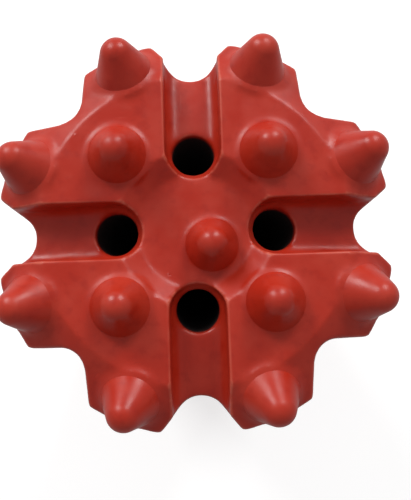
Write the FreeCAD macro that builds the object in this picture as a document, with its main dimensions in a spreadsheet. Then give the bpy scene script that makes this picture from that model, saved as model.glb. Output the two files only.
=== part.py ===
import FreeCAD, Part
import math
import os
import re

import Sketcher

# Button drill bit with a dished centre, a screwed rod socket and pressed-in hard-metal buttons.
# The origin is the centre of the skirt's end face. +Z points along the axis to the cutting face,
# and the four face grooves run along X and Y. Lengths are millimetres and angles are degrees.

SIZES = {
    # whole bit
    "gauge_radius": 44.3,        # the hole that the bit drills, touched by the gauge buttons
    "bit_length": 120.0,         # skirt end to ring face
    # outside of the steel
    "head_depth": 29.0,          # ring face to the head's back corner
    "gauge_clearance": 0.8,      # air between the steel and the drilled hole
    "bevel_inset": 5.0,          # edge of the flat ring face, inside the gauge buttons' circle
    "gauge_bevel": 31.5,         # slope of the bevel that carries the gauge buttons
    "back_taper": 5.0,           # the head gets smaller behind the gauge
    "shoulder_slope": 42.0,      # back of the head, from the axis
    "neck_round": 10.0,          # hollow between shoulder and skirt
    "back_round": 1.5,           # corner at the head's back
    "rim_round": 0.8,            # corner between bevel and side
    "skirt_radius": 31.5,
    "skirt_chamfer": 1.5,
    # dished centre
    "dish_floor_radius": 12.0,
    "dish_rim_radius": 16.5,
    "dish_depth": 3.4,
    # flutes along the head: four in line with the face grooves, and four between them
    "main_flute_depth": 8.4,
    "main_flute_round": 5.6,
    "main_flute_opening": 78.0,  # angle between the two flanks
    "side_flute_depth": 7.6,
    "side_flute_round": 4.8,
    "side_flute_opening": 92.0,
    # grooves across the ring face
    "groove_half_width": 5.8,
    "groove_depth": 6.0,         # below the ring face, where the flushing holes open
    "groove_slope": 9.0,         # the floor falls away towards the rim
    "groove_round": 2.6,         # corner radius of the cutter that makes them
    # flushing passages
    "flushing_circle": 17.2,     # where they open, measured at the grooves' floor
    "flushing_radius": 4.6,
    "flushing_tilt": 13.0,
    "chamber_radius": 14.0,
    "chamber_depth": 7.0,
    "drill_point": 118.0,        # included angle of every drilled bottom
    # rod socket, bored to the crests of its thread
    "socket_depth": 78.0,
    "socket_chamfer": 1.2,
    "guide_radius": 23.4,        # plain bore at the socket's mouth
    "guide_depth": 9.0,
    "thread_crest_radius": 20.0,
    "thread_depth": 2.8,
    "relief_length": 8.5,        # plain ring between the thread and the rod's seat
    "relief_step": 0.4,          # how much deeper the relief is than the thread
    # conical hard-metal buttons with a rounded nose, pressed into drilled seats
    "button_radius": 6.5,
    "button_height": 8.6,        # how far a button stands out of its seat
    "button_nose": 3.7,          # radius of the nose
    "button_seat": 12.5,         # how far a button goes into the steel
    "button_chamfer": 0.8,
    "seat_gap": 0.4,             # air left under a pressed button
    "row_spacing": 15.4,         # front buttons' circle, inside the gauge buttons' circle
    "centre_offset": 4.8,
    "centre_radius": 6.0,
    "centre_height": 7.8,
    "centre_seat": 9.5,
    "tool_clearance": 6.0,       # how far a cutting tool runs past the steel
}
QUARTERS = 4
GAUGE_BUTTONS = 8

document = FreeCAD.newDocument("ButtonBit")
sheet = document.addObject("Spreadsheet::Sheet", "Sizes")
for row, (alias, size) in enumerate(SIZES.items(), start=1):
    sheet.set(f"A{row}", alias)
    sheet.set(f"B{row}", str(size))
    sheet.setAlias(f"B{row}", alias)
document.recompute()


def worked(formula):
    """Turn a formula written with the sizes' names into an expression on the sheet's cells."""
    return re.sub(r"[a-z_]+", lambda word: f"Sizes.{word[0]}" if word[0] in SIZES else word[0], formula)


def value_of(formula):
    """Present value of a formula, to draw geometry close to where its constraints hold it."""
    return float(sheet.evalExpression(worked(formula)))


# Sizes that follow from the ones in the sheet. The nose of a gauge button touches the drilled
# hole's wall, which sets these buttons' circle, and the front row and the ring face follow it.
GAUGE_CIRCLE = "(gauge_radius - button_nose - (button_height - button_nose) * sin(gauge_bevel))"
FRONT_CIRCLE = f"({GAUGE_CIRCLE} - row_spacing)"
FACE_RADIUS = f"({GAUGE_CIRCLE} - bevel_inset)"
GAUGE_LEVEL = "(bit_length - bevel_inset * tan(gauge_bevel))"
HEAD_RADIUS = "(gauge_radius - gauge_clearance)"
BEVEL_DROP = f"(({HEAD_RADIUS} - {FACE_RADIUS}) * tan(gauge_bevel))"
BACK_RADIUS = f"({HEAD_RADIUS} - (head_depth - {BEVEL_DROP}) * tan(back_taper))"
BACK_LEVEL = "(bit_length - head_depth)"
NECK_LEVEL = f"({BACK_LEVEL} - ({BACK_RADIUS} - skirt_radius) / tan(shoulder_slope))"
GROOVE_FLOOR = "(bit_length - groove_depth)"
RELIEF_RADIUS = "(thread_crest_radius + thread_depth + relief_step)"
POINT_SLOPE = "tan(drill_point / 2)"
FAR_RADIUS = f"({HEAD_RADIUS} + tool_clearance)"
ABOVE_FACE = "(bit_length + tool_clearance)"
FLUSHING_LENGTH = f"(({GROOVE_FLOOR} - socket_depth - chamber_depth / 2) / cos(flushing_tilt))"


def moved(along_x, along_y, along_z, pitch="0"):
    """Placement expression that moves a sketch, and then pitches it about its own horizontal."""
    return worked(f"placement(vector({along_x}; {along_y}; {along_z}); rotation(vector(1; 0; 0); {pitch}))")


class Seat:
    """Place of a button or hole: on a circle, at a level, leaning out, at a bearing round the axis."""

    def __init__(self, circle, level, tilt, bearing):
        self.circle, self.level, self.tilt, self.bearing = circle, level, tilt, bearing

    def frame(self):
        """Placement whose +Z is the seat's axis."""
        return worked(f"placement(vector(0; 0; 0); rotation(vector(0; 0; 1); {self.bearing}))"
                      f" * placement(vector({self.circle}; 0; {self.level});"
                      f" rotation(vector(0; 1; 0); {self.tilt}))")

    def upright_frame(self):
        """The same place for a sketch on the XZ plane, whose vertical is the seat's axis."""
        return worked(f"placement(vector(0; 0; 0); rotation(vector(0; 1; 0); {self.bearing}))"
                      f" * placement(vector({self.circle}; {self.level}; 0);"
                      f" rotation(vector(0; 0; 1); -({self.tilt})))")


FRONT_BEARING = 180 / QUARTERS
GAUGE_BEARING = 180 / GAUGE_BUTTONS
CENTRE_SEAT = Seat("centre_offset", "(bit_length - dish_depth)", "0", -FRONT_BEARING)


def front_seat(number):
    return Seat(FRONT_CIRCLE, "bit_length", "0", FRONT_BEARING + number * 360 / QUARTERS)


def gauge_seat(number):
    return Seat(GAUGE_CIRCLE, GAUGE_LEVEL, "gauge_bevel", GAUGE_BEARING + number * 360 / GAUGE_BUTTONS)


def origin_item(body, role):
    return next(item for item in body.Origin.OriginFeatures if item.Role == role)


def sketch_on(body, name, plane, frame=None):
    """Sketch on one of the body's origin planes, moved within it by a placement expression."""
    sketch = body.newObject("Sketcher::SketchObject", name)
    sketch.AttachmentSupport = [(origin_item(body, plane), "")]
    sketch.MapMode = "FlatFace"
    if frame:
        sketch.setExpression("AttachmentOffset", frame)
    return sketch


def constrain(sketch, *constraints):
    for constraint in constraints:
        sketch.addConstraint(Sketcher.Constraint(*constraint))


def bind(sketch, kind, *where, size):
    """Add a dimension to the sketch and tie it to the sheet."""
    index = sketch.addConstraint(Sketcher.Constraint(kind, *where, value_of(size)))
    sketch.setExpression(f"Constraints[{index}]", worked(size))


def fix(sketch, geometry, end, corner):
    """Hold a point at a corner, measured along both axes from the sketch's origin."""
    for kind, axis, size in zip(("DistanceX", "DistanceY"), (-2, -1), corner):
        if size == "0":
            constrain(sketch, ("PointOnObject", geometry, end, axis))
        else:
            bind(sketch, kind, -1, 1, geometry, end, size=size)


def outline(sketch, corners):
    """Closed outline of straight lines, with a tangent arc at each corner that gives a round."""
    points = [FreeCAD.Vector(value_of(corner[0]), value_of(corner[1]), 0) for corner in corners]
    ends = []
    for index, corner in enumerate(corners):
        back = (points[index - 1] - points[index]).normalize()
        ahead = (points[(index + 1) % len(points)] - points[index]).normalize()
        trim = value_of(corner[2]) / math.tan(back.getAngle(ahead) / 2) if len(corner) > 2 else 0
        ends.append((points[index] + back * trim, points[index] + ahead * trim))
    lines = [sketch.addGeometry(Part.LineSegment(ends[index][1], ends[(index + 1) % len(ends)][0]))
             for index in range(len(ends))]
    for index, corner in enumerate(corners):
        before, after = lines[index - 1], lines[index]
        if len(corner) > 2:
            round_corner(sketch, before, after, points[index], ends[index], corner)
        else:
            constrain(sketch, ("Coincident", before, 2, after, 1))
            fix(sketch, after, 1, corner)


def round_corner(sketch, before, after, apex, ends, corner):
    """Join two lines by a tangent arc, keeping the point where they would meet."""
    arrive, leave = ends
    radius = value_of(corner[2])
    inward = ((arrive + leave) / 2 - apex).normalize()
    centre = apex + inward * math.hypot(radius, (arrive - apex).Length)
    arc = sketch.addGeometry(Part.Arc(arrive, centre - inward * radius, leave))
    turns_left = (apex - arrive).cross(leave - apex).z > 0
    first, last = (1, 2) if turns_left else (2, 1)
    constrain(sketch, ("Tangent", before, 2, arc, first), ("Tangent", arc, last, after, 1))
    bind(sketch, "Radius", arc, size=corner[2])
    mark = sketch.addGeometry(Part.Point(apex), True)
    fix(sketch, mark, 1, corner)
    constrain(sketch, ("PointOnObject", mark, 1, before), ("PointOnObject", mark, 1, after))


def feature_from(sketch, kind, name, **settings):
    """Add a feature made from a sketch to the sketch's body."""
    feature = sketch.getParentGeoFeatureGroup().newObject(f"PartDesign::{kind}", name)
    feature.Profile = sketch
    for setting, value in settings.items():
        setattr(feature, setting, value)
    return feature


def turned(body, kind, name, corners, frame=None):
    """Revolution or Groove of an outline about its sketch's own vertical."""
    sketch = sketch_on(body, f"{name}Sketch", "XZ_Plane", frame)
    outline(sketch, corners)
    feature = feature_from(sketch, kind, name, ReferenceAxis=(sketch, ["V_Axis"]), Angle=360.0)
    document.recompute()
    return feature


def cut_outward(sketch, name):
    """Pocket that runs from the sketch along its normal, through all of the steel."""
    pocket = feature_from(sketch, "Pocket", name, Type="ThroughAll", Reversed=True)
    document.recompute()
    return pocket


def repeat_round(body, name, originals, count):
    """Copies of features, evenly spaced round the bit's axis."""
    pattern = body.newObject("PartDesign::PolarPattern", name)
    pattern.Originals = originals
    pattern.Axis = (origin_item(body, "Z_Axis"), [""])
    pattern.Angle = 360.0
    pattern.Occurrences = count
    body.Tip = pattern
    document.recompute()


def add_blank(body):
    """Outside of the steel before it is fluted: head, shoulder, hollow neck and skirt."""
    turned(body, "Revolution", "Blank", [
        ("0", "0"),
        ("skirt_radius - skirt_chamfer", "0"),
        ("skirt_radius", "skirt_chamfer"),
        ("skirt_radius", NECK_LEVEL, "neck_round"),
        (BACK_RADIUS, BACK_LEVEL, "back_round"),
        (HEAD_RADIUS, f"bit_length - {BEVEL_DROP}", "rim_round"),
        (FACE_RADIUS, "bit_length"),
        ("0", "bit_length"),
    ])


def cut_dish(body):
    """Dished centre: a flat floor inside a bevelled rim."""
    slope = "((dish_rim_radius - dish_floor_radius) / dish_depth)"
    turned(body, "Groove", "Dish", [
        ("0", "bit_length - dish_depth"),
        ("dish_floor_radius", "bit_length - dish_depth"),
        (f"dish_rim_radius + tool_clearance * {slope}", ABOVE_FACE),
        ("0", ABOVE_FACE),
    ])


def cut_flutes(body, kind, bearing):
    """Flutes along the head, each a round-bottomed V that opens outwards."""
    nose, half = f"{kind}_flute_round", f"{kind}_flute_opening / 2"
    apex = f"({HEAD_RADIUS} - {kind}_flute_depth + {nose} - {nose} / sin({half}))"
    spread = f"(({FAR_RADIUS} - {apex}) * tan({half}))"
    name = f"{kind.capitalize()}Flute"
    sketch = sketch_on(body, f"{name}Sketch", "XY_Plane", Seat("0", "0", "0", bearing).frame())
    outline(sketch, [(apex, "0", nose), (FAR_RADIUS, f"-{spread}"), (FAR_RADIUS, spread)])
    repeat_round(body, f"{name}s", [cut_outward(sketch, name)], QUARTERS)


def cut_grooves(body):
    """Face grooves from the flushing holes to the rim, with the round end that the cutter leaves."""
    start = moved(0, GROOVE_FLOOR, "flushing_circle", "groove_slope")
    sketch = sketch_on(body, "GrooveSketch", "YZ_Plane", start)
    above = f"(groove_depth + {FAR_RADIUS} * tan(groove_slope))"
    outline(sketch, [
        ("-groove_half_width", "0", "groove_round"),
        ("groove_half_width", "0", "groove_round"),
        ("groove_half_width", above),
        ("-groove_half_width", above),
    ])
    channel = cut_outward(sketch, "Groove")
    end = turned(body, "Groove", "GrooveEnd", [
        ("0", GROOVE_FLOOR),
        ("groove_half_width", GROOVE_FLOOR, "groove_round"),
        ("groove_half_width", ABOVE_FACE),
        ("0", ABOVE_FACE),
    ], moved("flushing_circle", 0, 0))
    repeat_round(body, "Grooves", [channel, end], QUARTERS)


def cut_socket(body):
    """Rod socket: guide bore, thread bore, relief, the rod's seat and the flushing chamber."""
    turned(body, "Groove", "Socket", [
        ("0", "-tool_clearance"),
        ("guide_radius + socket_chamfer + tool_clearance", "-tool_clearance"),
        ("guide_radius", "socket_chamfer"),
        ("guide_radius", "guide_depth"),
        ("thread_crest_radius", "guide_depth + guide_radius - thread_crest_radius"),
        ("thread_crest_radius", "socket_depth - relief_length - thread_depth - relief_step"),
        (RELIEF_RADIUS, "socket_depth - relief_length"),
        (RELIEF_RADIUS, "socket_depth"),
        ("chamber_radius", "socket_depth"),
        ("chamber_radius", "socket_depth + chamber_depth"),
        ("0", f"socket_depth + chamber_depth + chamber_radius / {POINT_SLOPE}"),
    ])


def drill(body, name, seat, depth, radius):
    """Drilled blind hole below a seat's mouth, with the cone that a drill's point leaves."""
    return turned(body, "Groove", name, [
        ("0", f"-({depth}) - {radius} / {POINT_SLOPE}"),
        (radius, f"-({depth})"),
        (radius, "tool_clearance"),
        ("0", "tool_clearance"),
    ], seat.upright_frame())


def drill_flushing_holes(body):
    """Passages that lean in from the grooves' ends to the chamber behind the rod's seat."""
    mouth = Seat("flushing_circle", GROOVE_FLOOR, "flushing_tilt", 0)
    hole = drill(body, "FlushingHole", mouth, FLUSHING_LENGTH, "flushing_radius")
    repeat_round(body, "FlushingHoles", [hole], QUARTERS)


def drill_button_seats(body):
    """Blind holes, drilled square to the face that each button stands on."""
    depth = "button_seat + seat_gap"
    gauge = drill(body, "GaugeSeat", gauge_seat(0), depth, "button_radius")
    repeat_round(body, "GaugeSeats", [gauge], GAUGE_BUTTONS)
    front = drill(body, "FrontSeat", front_seat(0), depth, "button_radius")
    repeat_round(body, "FrontSeats", [front], QUARTERS)
    drill(body, "CentreSeat", CENTRE_SEAT, "centre_seat + seat_gap", "centre_radius")


def make_bit_body():
    """The forged and machined steel, with everything that is cut into it."""
    body = document.addObject("PartDesign::Body", "bit_body")
    add_blank(body)
    cut_socket(body)
    cut_dish(body)
    cut_flutes(body, "main", 0)
    cut_flutes(body, "side", FRONT_BEARING)
    cut_grooves(body)
    drill_flushing_holes(body)
    drill_button_seats(body)
    return body


def button_outline(sketch, radius, height, seat):
    """Half section of a button: chamfered shank, conical side and round nose."""
    edge, nose = value_of("button_chamfer"), value_of("button_nose")
    wide, rise, deep = value_of(radius), value_of(height) - nose, value_of(seat)
    meet = math.atan2(wide, rise) - math.asin(nose / math.hypot(wide, rise))
    centre = FreeCAD.Vector(0, rise, 0)
    path = [FreeCAD.Vector(0, -deep, 0), FreeCAD.Vector(wide - edge, -deep, 0),
            FreeCAD.Vector(wide, edge - deep, 0), FreeCAD.Vector(wide, 0, 0),
            centre + FreeCAD.Vector(math.cos(meet), math.sin(meet), 0) * nose]
    base, bevel, shank, flank = [sketch.addGeometry(Part.LineSegment(*pair)) for pair in zip(path, path[1:])]
    crown = sketch.addGeometry(Part.ArcOfCircle(
        Part.Circle(centre, FreeCAD.Vector(0, 0, 1), nose), meet, math.pi / 2))
    spine = sketch.addGeometry(Part.LineSegment(FreeCAD.Vector(0, rise + nose, 0), path[0]))
    constrain(sketch, ("Coincident", base, 2, bevel, 1), ("Coincident", bevel, 2, shank, 1),
              ("Coincident", shank, 2, flank, 1), ("Tangent", flank, 2, crown, 1),
              ("Coincident", crown, 2, spine, 1), ("Coincident", spine, 2, base, 1),
              ("Horizontal", base), ("Vertical", shank), ("PointOnObject", shank, 2, -1),
              ("PointOnObject", spine, 1, -2), ("PointOnObject", spine, 2, -2),
              ("PointOnObject", crown, 3, -2))
    bind(sketch, "DistanceX", -1, 1, shank, 2, size=radius)
    bind(sketch, "DistanceY", base, 1, -1, 1, size=seat)
    bind(sketch, "DistanceX", bevel, 1, bevel, 2, size="button_chamfer")
    bind(sketch, "DistanceY", bevel, 1, bevel, 2, size="button_chamfer")
    bind(sketch, "DistanceY", -1, 1, spine, 1, size=height)
    bind(sketch, "Radius", crown, size="button_nose")


def make_button(name, place, radius="button_radius", height="button_height", seat="button_seat"):
    """Button turned about its own axis, its shoulder level with the mouth of its seat."""
    body = document.addObject("PartDesign::Body", name)
    sketch = sketch_on(body, f"{name}_sketch", "XZ_Plane")
    button_outline(sketch, radius, height, seat)
    feature_from(sketch, "Revolution", f"{name}_turning", ReferenceAxis=(sketch, ["V_Axis"]), Angle=360.0)
    body.setExpression("Placement", place.frame())
    document.recompute()
    return body


def make_all():
    pieces = [make_bit_body()]
    for number in range(GAUGE_BUTTONS):
        pieces.append(make_button(f"gauge_button_{number + 1}", gauge_seat(number)))
    for number in range(QUARTERS):
        pieces.append(make_button(f"front_button_{number + 1}", front_seat(number)))
    pieces.append(make_button("centre_button", CENTRE_SEAT, "centre_radius", "centre_height", "centre_seat"))
    return pieces


def check(pieces):
    """Stop if a feature failed, a cut removed nothing, or a piece isn't one valid solid."""
    for item in document.Objects:
        if {"Invalid", "Error"} & set(item.State):
            raise RuntimeError(f"{item.Name} failed: {item.State}")
        base = getattr(item, "BaseFeature", None)
        if base and item.Shape.Volume > base.Shape.Volume - 1:
            raise RuntimeError(f"{item.Name} removes nothing")
    for piece in pieces:
        if piece.Shape.isNull() or not piece.Shape.isValid() or len(piece.Shape.Solids) != 1:
            raise RuntimeError(f"{piece.Name} is not one valid solid")


made = make_all()
check(made)
os.makedirs("parts", exist_ok=True)
for piece in made:
    piece.Label = piece.Name
    piece.Shape.exportStep(f"parts/{piece.Label}.step")
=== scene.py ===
"""Looks of a button drill bit: glossy red paint over a fluted steel head and its buttons.

The bit stands on its skirt, with its dished cutting face up. Each button's place is worked out from
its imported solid, and the sizes named here repeat those of the solids. Lengths are metres and angles
are degrees.
"""

import logging
import math
from dataclasses import dataclass
from enum import Enum

import bmesh
import bpy
import numpy as np
from mathutils import Matrix, Vector, noise


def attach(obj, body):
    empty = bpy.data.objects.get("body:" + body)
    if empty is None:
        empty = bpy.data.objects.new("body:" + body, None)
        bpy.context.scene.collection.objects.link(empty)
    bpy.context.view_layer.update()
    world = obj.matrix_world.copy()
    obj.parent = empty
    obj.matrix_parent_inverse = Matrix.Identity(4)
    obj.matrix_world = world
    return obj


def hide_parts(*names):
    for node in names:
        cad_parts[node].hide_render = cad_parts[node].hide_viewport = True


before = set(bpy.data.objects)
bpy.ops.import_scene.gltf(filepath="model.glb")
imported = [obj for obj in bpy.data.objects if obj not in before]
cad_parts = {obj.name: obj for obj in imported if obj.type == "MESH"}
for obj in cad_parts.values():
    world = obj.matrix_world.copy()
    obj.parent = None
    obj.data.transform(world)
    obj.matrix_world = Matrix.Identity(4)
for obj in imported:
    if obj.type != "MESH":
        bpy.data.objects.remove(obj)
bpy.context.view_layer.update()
log = logging.getLogger("drill_bit")
MM = 0.001
BODY = "root"
EDGE = "edge"  # attribute that notes a coat's corners and hollows
NOSE = 3.7 * MM  # radius of every button's nose


class Bench:
    """Short way to write a node tree: each call adds a node and wires what it is given."""

    def __init__(self, tree: bpy.types.NodeTree) -> None:
        """Work on a tree.

        Args:
            tree: shader or geometry tree that the nodes go into.
        """
        self.tree = tree

    def add(self, kind: str, *inputs: object, named: dict | None = None,
            **settings: object) -> bpy.types.Node:
        """Add a node.

        Args:
            kind: the node's type name.
            inputs: values or sockets for its first inputs, in order, with None to skip one.
            named: values or sockets for inputs by name.
            settings: properties of the node itself.

        Returns:
            The new node.
        """
        node = self.tree.nodes.new(kind)
        for name, value in settings.items():
            setattr(node, name, value)
        pairs = list(zip(node.inputs, inputs))
        pairs += [(node.inputs[key], value) for key, value in (named or {}).items()]
        for socket, value in pairs:
            self.feed(socket, value)
        return node

    def feed(self, socket: bpy.types.NodeSocket, value: object) -> None:
        """Give an input a value or a wire from a socket, or leave it alone if the value is None."""
        if isinstance(value, bpy.types.NodeSocket):
            self.tree.links.new(value, socket)
        elif value is not None:
            socket.default_value = value

    def math(self, operation: str, *inputs: object, clamp: bool = False) -> bpy.types.NodeSocket:
        """Result of a Math node on values or sockets."""
        return self.add("ShaderNodeMath", *inputs, operation=operation, use_clamp=clamp).outputs[0]

    def ramp(self, value: object, low: float, high: float, start: float = 0.0,
             end: float = 1.0) -> bpy.types.NodeSocket:
        """Smooth step from start to end as a value goes from low to high."""
        node = self.add("ShaderNodeMapRange", value, low, high, start, end,
                        interpolation_type="SMOOTHSTEP")
        return node.outputs[0]

    def blend(self, share: object, first: object, second: object) -> bpy.types.NodeSocket:
        """Colour between two colours."""
        node = self.add("ShaderNodeMix", data_type="RGBA")
        for name, value in (("Factor_Float", share), ("A_Color", first), ("B_Color", second)):
            self.feed(next(item for item in node.inputs if item.identifier == name), value)
        return next(item for item in node.outputs if item.identifier == "Result_Color")

    def noise(self, place: bpy.types.NodeSocket, grain: float,
              detail: float = 2.0) -> bpy.types.NodeSocket:
        """Noise whose lumps are about grain metres across."""
        node = self.add("ShaderNodeTexNoise", place, named={"Scale": 1 / grain, "Detail": detail})
        return node.outputs[0]


def opened(name: str) -> tuple[bpy.types.Material, Bench, bpy.types.Node]:
    """New material with an empty principled shader.

    Args:
        name: the material's name.

    Returns:
        The material, a bench on its tree and the shader.
    """
    material = bpy.data.materials.new(name)
    material.use_nodes = True
    material.node_tree.nodes.clear()
    bench = Bench(material.node_tree)
    shader = bench.add("ShaderNodeBsdfPrincipled")
    bench.add("ShaderNodeOutputMaterial", shader.outputs[0])
    return material, bench, shader


@dataclass(frozen=True)
class RedPaint:
    """Thick sprayed enamel: cloudy and flecked, paler on convex corners from wear and painted highlight,
    darker in hollows from pooling paint and painted shade, none inside the passages, whose unpainted
    walls are near-black as painted shade.
    """

    colour: tuple = (0.385, 0.018, 0.0065, 1)
    thin: tuple = (0.46, 0.040, 0.020, 1)
    # darker tone: random flecks, and painted shade with pooling paint in hollows
    deep: tuple = (0.29, 0.010, 0.004, 1)
    # colour on convex corners: wear of the coat, and painted highlight on lit edges
    edge_wear_and_highlight: tuple = (0.49, 0.075, 0.045, 1)
    # near-black unpainted steel inside the passages and socket, dark as painted shade in the holes
    steel: tuple = (0.012, 0.010, 0.010, 1)
    clouds: tuple = (0.35, 0.7)
    thin_share: float = 0.45
    flecks: tuple = (0.5, 0.72)
    fleck_share: float = 0.4
    patches: tuple = (0.3, 0.62, 0.25, 1.0)
    # share of the darker tone in hollows: pooling paint and painted shade in creases and groove corners
    pool_and_shade_share: float = 0.55
    hollow: tuple = (-0.12, -0.5)
    # curvature range that gets the corner colour: wear and painted highlight
    corner: tuple = (0.22, 0.62)
    gloss: float = 0.36
    bare_roughness: float = 0.3
    shine: float = 0.32
    cloud: float = 9 * MM
    peel: float = 1.1 * MM
    peel_height: float = 0.018 * MM

    def material(self, passages: "Passages") -> bpy.types.Material:
        """Make the paint.

        Args:
            passages: holes whose depths the spray did not reach.

        Returns:
            The material.
        """
        material, bench, shader = opened("red_enamel")
        place = bench.add("ShaderNodeTexCoord").outputs["Object"]
        bare_and_shaded = passages.bare_and_shaded(bench, place)
        # unpainted walls get the near-black steel colour: steel with no paint, and painted shade in the
        # holes
        colour = bench.blend(bare_and_shaded, self.tint(bench, place), self.steel)
        bench.feed(shader.inputs["Base Color"], colour)
        smooth, dull = self.gloss - 0.06, self.gloss + 0.07
        rough = bench.ramp(bench.noise(place, self.cloud / 2), 0.3, 0.7, smooth, dull)
        rough = bench.math("ADD", rough, bench.math("MULTIPLY", bare_and_shaded, self.bare_roughness))
        bench.feed(shader.inputs["Roughness"], rough)
        shader.inputs["Specular IOR Level"].default_value = self.shine
        waves = bench.math("ADD", bench.noise(place, self.peel, 1), bench.noise(place, self.peel * 4, 1))
        bump = bench.add("ShaderNodeBump", named={"Distance": self.peel_height, "Height": waves})
        bench.feed(shader.inputs["Normal"], bump.outputs[0])
        return material

    def tint(self, bench: Bench, place: bpy.types.NodeSocket) -> bpy.types.NodeSocket:
        """Colour of the coat: cloudy and flecked, darker in hollows from pooling paint and painted shade,
        and lighter on corners from wear and painted highlight.

        Args:
            bench: bench on the material's tree.
            place: position in the bit's own frame.

        Returns:
            Socket with the colour.
        """
        edge = bench.add("ShaderNodeAttribute", attribute_name=EDGE).outputs["Fac"]
        cloud = bench.ramp(bench.noise(place, self.cloud, 3), *self.clouds)
        colour = bench.blend(bench.math("MULTIPLY", cloud, self.thin_share), self.colour, self.thin)
        fleck = bench.ramp(bench.noise(place, self.cloud / 3, 4), *self.flecks)
        colour = bench.blend(bench.math("MULTIPLY", fleck, self.fleck_share), colour, self.deep)
        # darker in hollows: pooling paint and painted shade
        pooled_and_shaded = bench.ramp(edge, *self.hollow)
        colour = bench.blend(bench.math("MULTIPLY", pooled_and_shaded, self.pool_and_shade_share), colour, self.deep)
        # lighter on convex corners: wear, and painted highlight on the lit edges
        worn_and_highlit = bench.ramp(edge, *self.corner)
        patchy = bench.ramp(bench.noise(place, self.cloud / 2, 3), *self.patches)
        return bench.blend(bench.math("MULTIPLY", worn_and_highlit, patchy), colour, self.edge_wear_and_highlight)


@dataclass(frozen=True)
class Passages:
    """Where the bit is hollow: four leaning flushing passages and the rod socket."""

    circle: float = 17.2 * MM
    level: float = 114 * MM
    lean: float = 13
    radius: float = 4.6 * MM
    wall: float = 0.8 * MM
    overspray: float = 2.6 * MM
    socket_mouth: float = 9 * MM
    socket_radius: float = 24.5 * MM
    socket_end: float = 94 * MM

    def bare_and_shaded(self, bench: Bench, place: bpy.types.NodeSocket) -> bpy.types.NodeSocket:
        """Mask that is 1 on walls with no paint, which take a near-black steel colour that also stands in
        as painted shade deep in the holes.

        Args:
            bench: bench on the material's tree.
            place: position in the bit's own frame.

        Returns:
            Socket with the mask.
        """
        x, y, z = bench.add("ShaderNodeSeparateXYZ", place).outputs
        across, along = bench.math("ABSOLUTE", x), bench.math("ABSOLUTE", y)
        far, near = bench.math("MAXIMUM", across, along), bench.math("MINIMUM", across, along)
        below = bench.math("SUBTRACT", self.level, z)
        inward = bench.math("MULTIPLY", below, math.tan(math.radians(self.lean)))
        axis = bench.math("SUBTRACT", self.circle, inward)
        off = bench.math("SUBTRACT", far, axis)
        off = self.span(bench, off, near)
        inside = bench.ramp(off, self.radius + self.wall, self.radius + self.wall / 2)
        deep = bench.ramp(below, self.overspray * 0.35, self.overspray)
        hole = bench.math("MULTIPLY", inside, deep)
        out = self.span(bench, x, y)
        bore = bench.math("MULTIPLY", bench.ramp(out, self.socket_radius, self.socket_radius - 0.5 * MM),
                          bench.ramp(z, self.socket_mouth * 0.4, self.socket_mouth))
        bore = bench.math("MULTIPLY", bore, bench.ramp(z, self.socket_end, self.socket_end - MM))
        return bench.math("MAXIMUM", hole, bore)

    def span(self, bench: Bench, one: bpy.types.NodeSocket,
             other: bpy.types.NodeSocket) -> bpy.types.NodeSocket:
        """Length of the hypotenuse over two sides."""
        squares = bench.math("ADD", bench.math("POWER", one, 2), bench.math("POWER", other, 2))
        return bench.math("SQRT", squares)


def evaluated_mesh(item: bpy.types.Object, name: str) -> bpy.types.Object:
    """Plain copy of an object as its modifiers leave it, with the original taken away.

    Args:
        item: object with live modifiers.
        name: name of the copy.

    Returns:
        The copy.
    """
    mesh = bpy.data.meshes.new_from_object(item.evaluated_get(bpy.context.evaluated_depsgraph_get()))
    bpy.data.objects.remove(item)
    return placed(mesh, name)


def placed(mesh: bpy.types.Mesh, name: str) -> bpy.types.Object:
    """New object at the origin that shows a mesh."""
    mesh.name = name
    item = bpy.data.objects.new(name, mesh)
    bpy.context.scene.collection.objects.link(item)
    return item


def written(work: bmesh.types.BMesh, mesh: bpy.types.Mesh) -> bpy.types.Mesh:
    """Put what was built into a mesh and free the workspace."""
    work.to_mesh(mesh)
    work.free()
    return mesh


def merged(node: str) -> bmesh.types.BMesh:
    """Closed copy of a CAD node's loose triangles."""
    work = bmesh.new()
    work.from_mesh(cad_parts[node].data)
    bmesh.ops.remove_doubles(work, verts=work.verts, dist=1e-7)
    return work


class Grade(Enum):
    """Kinds of button, each with radius, height above its seat and depth of its shank."""

    ROW = (6.5 * MM, 8.6 * MM, 12.5 * MM)
    CENTRE = (6.0 * MM, 7.8 * MM, 9.5 * MM)

    @classmethod
    def of(cls, node: str) -> "Grade":
        """Kind of button that a node's name says: the centre one, or one of the two rows."""
        return cls.CENTRE if node.startswith("centre") else cls.ROW

    def meeting_angle(self) -> float:
        """Angle at which the cone meets the nose, which is the cone's half angle, in radians."""
        radius, height, _ = self.value
        rise = height - NOSE
        return math.atan2(radius, rise) - math.asin(NOSE / math.hypot(radius, rise))


def tree_with(name: str, lengths: dict[str, float]) -> tuple[bpy.types.NodeTree, Bench, bpy.types.Node]:
    """Geometry tree with named inputs.

    Args:
        name: the tree's name.
        lengths: its inputs, with their defaults.

    Returns:
        The tree, a bench on it and its input node.
    """
    tree = bpy.data.node_groups.new(name, "GeometryNodeTree")
    for key, value in lengths.items():
        socket = tree.interface.new_socket(key, in_out="INPUT", socket_type="NodeSocketFloat")
        socket.default_value = value
    tree.interface.new_socket("Material", in_out="INPUT", socket_type="NodeSocketMaterial")
    tree.interface.new_socket("Geometry", in_out="OUTPUT", socket_type="NodeSocketGeometry")
    bench = Bench(tree)
    return tree, bench, bench.add("NodeGroupInput")


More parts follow.
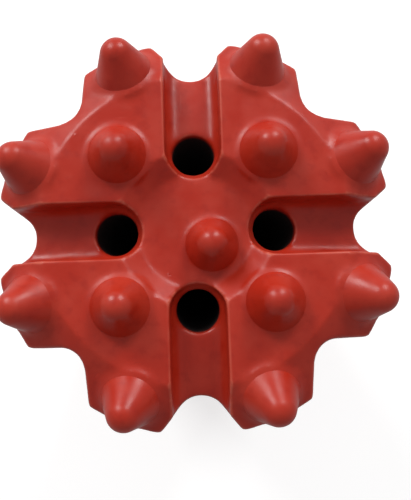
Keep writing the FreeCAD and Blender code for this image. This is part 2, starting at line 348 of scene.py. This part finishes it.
def finish_tree(bench: Bench, geometry: bpy.types.NodeSocket, material: bpy.types.NodeSocket) -> None:
    """End a geometry tree in real faces with a material."""
    smooth = bench.add("GeometryNodeSetShadeSmooth", geometry).outputs[0]
    real = bench.add("GeometryNodeRealizeInstances", smooth).outputs[0]
    dressed = bench.add("GeometryNodeSetMaterial", real, None, material).outputs[0]
    bench.add("NodeGroupOutput", dressed)


def grown(tree: bpy.types.NodeTree, values: dict[str, object], name: str) -> bpy.types.Object:
    """Run a geometry tree with its inputs set, and keep the plain mesh that it makes.

    Args:
        tree: the geometry tree.
        values: its inputs by name.
        name: name of the result.

    Returns:
        The plain object.
    """
    host = placed(bpy.data.meshes.new(name), f"{name}_host")
    modifier = host.modifiers.new("Grow", "NODES")
    modifier.node_group = tree
    for item in tree.interface.items_tree:
        if item.in_out == "INPUT" and item.name in values:
            modifier[item.identifier] = values[item.name]
    return evaluated_mesh(host, name)


@dataclass
class ButtonMaker:
    """Conical round-nosed buttons, turned by one tree and set where the solids stand."""

    sides: int = 96
    shank_rings: int = 3
    flank_rings: int = 14
    nose_rings: int = 20

    def __post_init__(self) -> None:
        """Make the tree once, for all the buttons."""
        self.tree = self.turning()

    def turning(self) -> bpy.types.NodeTree:
        """Tree that wraps a grid round the button's half section.

        Returns:
            The tree.
        """
        tree, bench, given = tree_with("button_turning", self.sizes(Grade.ROW))
        radius, height, seat, nose, material = given.outputs[:5]
        rings = self.shank_rings + self.flank_rings + self.nose_rings
        grid = bench.add("GeometryNodeMeshGrid", 1.0, 1.0, self.sides + 1, rings + 1)
        spot = bench.add("GeometryNodeInputPosition").outputs[0]
        x, y, _ = bench.add("ShaderNodeSeparateXYZ", spot).outputs
        turn = bench.math("MULTIPLY", bench.math("ADD", x, 0.5), 2 * math.pi)
        ring = bench.math("MULTIPLY", bench.math("ADD", y, 0.5), float(rings))
        rise = bench.math("SUBTRACT", height, nose)
        squares = bench.math("ADD", bench.math("POWER", radius, 2.0), bench.math("POWER", rise, 2.0))
        reach = bench.math("SQRT", squares)
        meet = bench.math("SUBTRACT", bench.math("ARCTAN2", radius, rise),
                          bench.math("ARCSINE", bench.math("DIVIDE", nose, reach)))
        flank = self.share(bench, ring, self.shank_rings, self.flank_rings)
        crown = self.share(bench, ring, self.shank_rings + self.flank_rings, self.nose_rings)
        sweep = bench.math("SUBTRACT", math.pi / 2, meet)
        angle = bench.math("ADD", meet, bench.math("MULTIPLY", crown, sweep))
        left = bench.math("SUBTRACT", 1.0, flank)
        waist = bench.math("MULTIPLY", nose, bench.math("COSINE", meet))
        shoulder = bench.math("SUBTRACT", radius, waist)
        out = bench.math("ADD", bench.math("MULTIPLY", nose, bench.math("COSINE", angle)),
                         bench.math("MULTIPLY", left, shoulder))
        step = bench.math("ADD", rise, bench.math("MULTIPLY", nose, bench.math("SINE", meet)))
        top = bench.math("ADD", rise, bench.math("MULTIPLY", nose, bench.math("SINE", angle)))
        up = bench.math("SUBTRACT", top, bench.math("MULTIPLY", left, step))
        out = bench.math("MULTIPLY", out, self.share(bench, ring, 0, 1))
        sunk = bench.math("SUBTRACT", 1.0, self.share(bench, ring, 1, self.shank_rings - 1))
        up = bench.math("SUBTRACT", up, bench.math("MULTIPLY", sunk, seat))
        point = bench.add("ShaderNodeCombineXYZ", bench.math("MULTIPLY", out, bench.math("COSINE", turn)),
                          bench.math("MULTIPLY", out, bench.math("SINE", turn)), up)
        bent = bench.add("GeometryNodeSetPosition", grid.outputs[0], named={"Position": point.outputs[0]})
        closed = bench.add("GeometryNodeMergeByDistance", bent.outputs[0], named={"Distance": 1e-6})
        finish_tree(bench, closed.outputs[0], material)
        return tree

    def sizes(self, grade: Grade) -> dict[str, float]:
        """The tree's sizes for one kind of button, by name."""
        return dict(zip(("Radius", "Height", "Seat", "Nose"), (*grade.value, NOSE)))

    def share(self, bench: Bench, ring: bpy.types.NodeSocket, first: int,
              count: int) -> bpy.types.NodeSocket:
        """How far a ring has come through a stretch of count rings, from 0 to 1."""
        done = bench.math("SUBTRACT", ring, float(first))
        return bench.math("DIVIDE", done, float(count), clamp=True)

    def place_of(self, node: str, grade: Grade) -> Matrix:
        """Frame of a button, at its seat's mouth, with +Z along its axis.

        Args:
            node: name of the CAD node.
            grade: kind of button.

        Returns:
            The frame, as a matrix.
        """
        work = merged(node)
        bmesh.ops.triangulate(work, faces=work.faces)
        corners = np.array([[v.co for v in face.verts] for face in work.faces])
        areas = np.array([face.calc_area() for face in work.faces])
        work.free()
        middle = np.average(corners.mean(1), axis=0, weights=areas)
        arms = corners - middle
        moment = np.einsum("f,fki,fkj->ij", areas, arms, arms) + np.einsum(
            "f,fi,fj->ij", areas, arms.sum(1), arms.sum(1))
        axis = Vector(np.linalg.eigh(moment)[1][:, 2])
        axis *= math.copysign(1, axis.z)
        tip = max((Vector(corner) - Vector(middle)).dot(axis) for corner in corners.reshape(-1, 3))
        origin = Vector(middle) + axis * (tip - grade.value[1])
        return Matrix.Translation(origin) @ axis.to_track_quat("Z", "Y").to_matrix().to_4x4()

    def build(self, node: str, grade: Grade, finish: bpy.types.Material) -> bpy.types.Object:
        """Make one painted button.

        Args:
            node: CAD node that it stands for.
            grade: kind of button.
            finish: the paint.

        Returns:
            The piece.
        """
        piece = grown(self.tree, {**self.sizes(grade), "Material": finish}, f"{node}_painted")
        piece.data.transform(self.place_of(node, grade))
        outward(piece.data)
        Flow().settle(piece.data)
        return piece


def outward(mesh: bpy.types.Mesh) -> None:
    """Turn a closed mesh's faces outwards."""
    work = bmesh.new()
    work.from_mesh(mesh)
    bmesh.ops.recalc_face_normals(work, faces=work.faces)
    written(work, mesh)


@dataclass(frozen=True)
class Flow:
    """How sprayed paint settles: a little uneven, and thin where the bit stands on its skirt."""

    lumps: tuple = ((6.5 * MM, 0.050 * MM), (2.1 * MM, 0.022 * MM))
    foot: float = 4 * MM
    passes: int = 3
    least: float = 1e-12

    def settle(self, mesh: bpy.types.Mesh) -> None:
        """Make a coat a little uneven, always inside the true form, and note its edges.

        Args:
            mesh: the coat.
        """
        count = len(mesh.vertices)
        points, normals = np.empty(count * 3), np.empty(count * 3)
        mesh.vertices.foreach_get("co", points)
        mesh.vertices.foreach_get("normal", normals)
        points, normals = points.reshape(-1, 3), normals.reshape(-1, 3)
        depth = np.zeros(count)
        for lump, sag in self.lumps:
            depth += [sag * (1 + noise.noise(Vector(point) / lump)) for point in points]
        steady = np.clip(points[:, 2] / self.foot, 0, 1)
        points -= normals * (depth * steady)[:, None]
        mesh.vertices.foreach_set("co", points.ravel())
        curve = self.bend(mesh, points, normals)
        mesh.attributes.new(EDGE, "FLOAT", "POINT").data.foreach_set("value", curve)
        mesh.update()

    def bend(self, mesh: bpy.types.Mesh, points: np.ndarray, normals: np.ndarray) -> np.ndarray:
        """Mean curvature at each point, times a millimetre, evened out with its neighbours.

        Args:
            mesh: the coat, for its edges.
            points: place of each vertex.
            normals: direction of each vertex.

        Returns:
            The values, above 0 on a corner that stands out and below 0 in a hollow.
        """
        count = len(points)
        pairs = np.empty(len(mesh.edges) * 2, dtype=int)
        mesh.edges.foreach_get("vertices", pairs)
        one, other = pairs.reshape(-1, 2).T
        start, end = np.concatenate((one, other)), np.concatenate((other, one))
        apart = points[end] - points[start]
        lengths = np.maximum((apart ** 2).sum(1), self.least)
        bends = -2 * (apart * normals[start]).sum(1) / lengths * MM
        ties = np.bincount(start, minlength=count).clip(1)
        curve = np.bincount(start, bends, count) / ties
        for _ in range(self.passes):
            curve = (curve + np.bincount(start, curve[end], count) / ties) / 2
        return curve


@dataclass
class PaintedBody:
    """Steel body under its coat of paint, soft at the edges, with the rod thread in its socket."""

    voxel: float = 0.5 * MM
    soften: int = 8
    most_faces: int = 190_000
    thread_radius: float = 20 * MM
    thread_depth: float = 2.8 * MM
    thread_pitch: float = 16 * MM
    root_width: float = 3.6 * MM
    flank: float = 35
    thread_start: float = 4 * MM
    thread_end: float = 74 * MM
    overlap: float = 1 * MM
    fillet: float = 1.3 * MM
    fillet_steps: int = 5
    fillet_stop: float = 14
    tuck: float = 0.45 * MM
    plug_sides: int = 64
    plug_margin: float = 0.4 * MM

    def thread_cutter(self) -> bpy.types.Object:
        """Right-hand helical bar that cuts the thread.

        Returns:
            The bar.
        """
        deep, long = self.thread_depth + self.overlap, self.thread_end - self.thread_start
        sizes = {"Radius": self.thread_radius - self.overlap + deep / 2, "Rise": long,
                 "Turns": long / self.thread_pitch, "Root": self.root_width,
                 "Crest": self.root_width + 2 * deep * math.tan(math.radians(self.flank)), "Depth": deep}
        tree, bench, given = tree_with("rod_thread", sizes)
        radius, rise, turns, root, crest, depth, material = given.outputs[:7]
        helix = bench.add("GeometryNodeCurveSpiral", 64, turns, radius, radius, rise, True)
        upright = bench.add("GeometryNodeSetCurveNormal", helix.outputs[0], mode="Z_UP")
        bar = bench.add("GeometryNodeCurvePrimitiveQuadrilateral", mode="TRAPEZOID", named={
            "Height": depth, "Bottom Width": crest, "Top Width": root, "Offset": 0.0})
        turned = bench.add("GeometryNodeTransform", bar.outputs[0],
                           named={"Rotation": (0, 0, -math.pi / 2)})
        swept = bench.add("GeometryNodeCurveToMesh", upright.outputs[0], turned.outputs[0],
                          named={"Fill Caps": True})
        finish_tree(bench, swept.outputs[0], material)
        bar = grown(tree, sizes, "thread_cutter")
        bar.data.transform(Matrix.Translation((0, 0, self.thread_start)))
        outward(bar.data)
        return bar

    def steel(self, plugs: list[tuple[Matrix, Grade]]) -> bpy.types.Object:
        """Closed solid to paint: the body, its thread, and the roots of its buttons.

        Args:
            plugs: frame and kind of every button.

        Returns:
            The solid.
        """
        steel = placed(written(merged("bit_body"), bpy.data.meshes.new("steel")), "steel")
        cutter = self.thread_cutter()
        cut = steel.modifiers.new("Thread", "BOOLEAN")
        cut.object, cut.operation, cut.solver = cutter, "DIFFERENCE", "EXACT"
        steel = evaluated_mesh(steel, "threaded")
        bpy.data.objects.remove(cutter)
        work = bmesh.new()
        work.from_mesh(steel.data)
        for matrix, grade in plugs:
            self.add_plug(work, matrix, grade)
        written(work, steel.data)
        return steel

    def add_plug(self, work: bmesh.types.BMesh, matrix: Matrix, grade: Grade) -> None:
        """Fill a button's seat, with a fillet of paint that climbs a little way up the cone.

        Args:
            work: mesh that takes the plug.
            matrix: the button's frame.
            grade: kind of button.
        """
        radius, _, seat = grade.value
        slope = math.pi / 2 - grade.meeting_angle()
        foot = radius + self.fillet * math.tan(slope / 2)
        under = self.plug_margin
        last = slope - math.radians(self.fillet_stop)
        rim = [(radius + under, -seat - 2 * under), (radius + under, -2 * under), (foot, -under)]
        rim += [(foot - self.fillet * math.sin(turn), self.fillet * (1 - math.cos(turn)))
                for turn in np.linspace(0, last, self.fillet_steps)]
        rim.append((rim[-1][0] - self.tuck, rim[-1][1] + self.tuck))
        rings, sides = [], self.plug_sides
        turns = np.linspace(0, 2 * math.pi, sides, endpoint=False)
        for out, level in rim:
            ring = [Vector((out * math.cos(turn), out * math.sin(turn), level)) for turn in turns]
            rings.append([work.verts.new(matrix @ point) for point in ring])
        for low, high in zip(rings, rings[1:]):
            for index in range(sides):
                after = (index + 1) % sides
                work.faces.new((low[index], low[after], high[after], high[index]))
        work.faces.new(rings[0][::-1])
        work.faces.new(rings[-1])

    def build(self, plugs: list[tuple[Matrix, Grade]], finish: bpy.types.Material) -> bpy.types.Object:
        """Lay the paint over the steel.

        Args:
            plugs: frame and kind of every button.
            finish: the paint.

        Returns:
            The piece.
        """
        coat = self.steel(plugs)
        skin = coat.modifiers.new("Skin", "REMESH")
        skin.mode, skin.voxel_size, skin.use_smooth_shade = "VOXEL", self.voxel, True
        relax = coat.modifiers.new("Flow", "SMOOTH")
        relax.factor, relax.iterations = 0.5, self.soften
        coat = evaluated_mesh(coat, "skin")
        log.info("skin has %d faces", len(coat.data.polygons))
        thin = coat.modifiers.new("Thin", "DECIMATE")
        thin.ratio = min(1.0, self.most_faces / (2 * len(coat.data.polygons)))
        coat = evaluated_mesh(coat, "body_painted")
        coat.data.materials.clear()
        coat.data.materials.append(finish)
        coat.data.shade_smooth()
        Flow().settle(coat.data)
        return coat


@dataclass
class Studio:
    """Pale floor, soft lamps and the camera, looking down on the cutting face."""

    face_level: float = 120 * MM
    distance: float = 150.3 * MM
    lean_down: float = 7.287
    lean_left: float = -0.866
    roll: float = 1.984
    aside: float = 2.1 * MM
    below: float = 4.68 * MM
    frame_height: float = 104.1 * MM
    sensor: float = 36.0
    lamp_distance: float = 0.9
    lamp_rise: float = 32
    lamp_size: tuple = (0.30, 0.42)
    left_lamp: tuple = (-36, 4.8)
    right_lamp: tuple = (26, 4.2)
    sky: tuple = (0.36, 0.60)
    floor_reach: float = 3.0
    floor_grey: float = 0.55
    floor_glow: float = 0.6
    # near-black disc under the bit: painted shade, seen through the socket and passages
    shade: float = 0.02
    painted_shade_radius: float = 31 * MM

    def camera(self) -> None:
        """Create the camera, a little below the bit's axis and turned a little."""
        down, left, roll = (math.radians(v) for v in (self.lean_down, self.lean_left, self.roll))
        back = Vector((math.sin(left) * math.cos(down), -math.sin(down), math.cos(left) * math.cos(down)))
        right = Vector((0, 1, 0)).cross(back).normalized()
        up = back.cross(right)
        across = right * math.cos(roll) - up * math.sin(roll)
        rise = right * math.sin(roll) + up * math.cos(roll)
        data = bpy.data.cameras.new("camera")
        data.sensor_fit = "VERTICAL"
        data.sensor_height = self.sensor
        data.lens = self.sensor * self.distance / self.frame_height
        data.clip_start = 5 * MM
        camera = bpy.data.objects.new("camera", data)
        turned = Matrix((across, rise, back)).transposed().to_4x4()
        place = Vector((0, 0, self.face_level)) + back * self.distance
        place = place + across * self.aside - rise * self.below
        camera.matrix_world = Matrix.Translation(place) @ turned
        bpy.context.scene.collection.objects.link(camera)
        bpy.context.scene.camera = camera

    def window(self, name: str, bearing: float, power: float) -> None:
        """Create one soft rectangular lamp that faces the cutting face.

        Args:
            name: the lamp's name.
            bearing: angle from +Y towards +X.
            power: its output in watts.
        """
        data = bpy.data.lights.new(name, "AREA")
        data.shape, data.size, data.size_y, data.energy = "RECTANGLE", *self.lamp_size, power
        lamp = bpy.data.objects.new(name, data)
        turn, rise = math.radians(bearing), math.radians(self.lamp_rise)
        way = Vector((math.sin(turn) * math.cos(rise), math.cos(turn) * math.cos(rise), math.sin(rise)))
        lamp.location = Vector((0, 0, self.face_level)) + way * self.lamp_distance
        lamp.rotation_euler = (-way).to_track_quat("-Z", "Y").to_euler()
        bpy.context.scene.collection.objects.link(lamp)

    def light(self) -> None:
        """Two window-like lamps beyond the top edge of the face, and a sky that is brighter there."""
        self.window("window_left", *self.left_lamp)
        self.window("window_right", *self.right_lamp)
        world = bpy.data.worlds.new("sky")
        world.use_nodes = True
        world.node_tree.nodes.clear()
        bench = Bench(world.node_tree)
        seen = self.seen(bench)
        way = bench.add("ShaderNodeTexCoord").outputs["Generated"]
        toward = bench.add("ShaderNodeSeparateXYZ", way).outputs[1]
        sky = bench.ramp(toward, -0.8, 0.8, *self.sky)
        strength = bench.math("ADD", sky, bench.math("MULTIPLY", seen, bench.math("SUBTRACT", 1.0, sky)))
        shade = bench.add("ShaderNodeBackground", (1, 1, 1, 1), strength)
        bench.add("ShaderNodeOutputWorld", shade.outputs[0])
        bpy.context.scene.world = world

    def seen(self, bench: Bench) -> bpy.types.NodeSocket:
        """1 for what the camera sees, straight or through something clear."""
        path = bench.add("ShaderNodeLightPath")
        return bench.math("MAXIMUM", path.outputs["Is Camera Ray"], path.outputs["Is Transmission Ray"])

    def floor(self) -> bpy.types.Object:
        """Pale floor that shows white to the camera and still takes the shadow, with a near-black disc
        under the bit as painted shade, seen through the socket and passages.

        Returns:
            The floor.
        """
        work = bmesh.new()
        bmesh.ops.create_grid(work, x_segments=1, y_segments=1, size=self.floor_reach)
        floor = placed(written(work, bpy.data.meshes.new("floor")), "floor")
        material, bench, shader = opened("pale_floor")
        place = bench.add("ShaderNodeTexCoord").outputs["Object"]
        away = bench.add("ShaderNodeVectorMath", place, operation="LENGTH").outputs["Value"]
        outside_painted_shade = bench.ramp(away, self.painted_shade_radius - MM, self.painted_shade_radius)
        # painted shade: the floor under the bit is near-black and does not glow
        dark, pale = (self.shade,) * 3 + (1,), (self.floor_grey,) * 3 + (1,)
        bench.feed(shader.inputs["Base Color"], bench.blend(outside_painted_shade, dark, pale))
        shader.inputs["Roughness"].default_value = 0.9
        lift = bench.math("MULTIPLY", self.seen(bench), self.floor_glow)
        glow = bench.math("MULTIPLY", lift, outside_painted_shade)
        shader.inputs["Emission Color"].default_value = (1, 1, 1, 1)
        bench.feed(shader.inputs["Emission Strength"], glow)
        floor.data.materials.append(material)
        return floor


def stand_for(piece: bpy.types.Object, node: str) -> None:
    """Make a finished piece take a CAD node's place."""
    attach(piece, BODY)
    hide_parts(node)
    log.info("%s: %d faces", piece.name, len(piece.data.polygons))


def main() -> None:
    """Build the studio, the painted body and its thirteen buttons."""
    logging.basicConfig(level=logging.INFO)
    bpy.context.scene.view_settings.view_transform = "Standard"
    studio = Studio()
    studio.camera()
    studio.light()
    studio.floor()
    paint = RedPaint().material(Passages())
    maker = ButtonMaker()
    nodes = sorted(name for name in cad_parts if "_button" in name)
    seats = [(maker.place_of(node, Grade.of(node)), Grade.of(node)) for node in nodes]
    body = PaintedBody().build(seats, paint)
    stand_for(body, "bit_body")
    for node in nodes:
        stand_for(maker.build(node, Grade.of(node), paint), node)


if __name__ == "__main__":
    main()
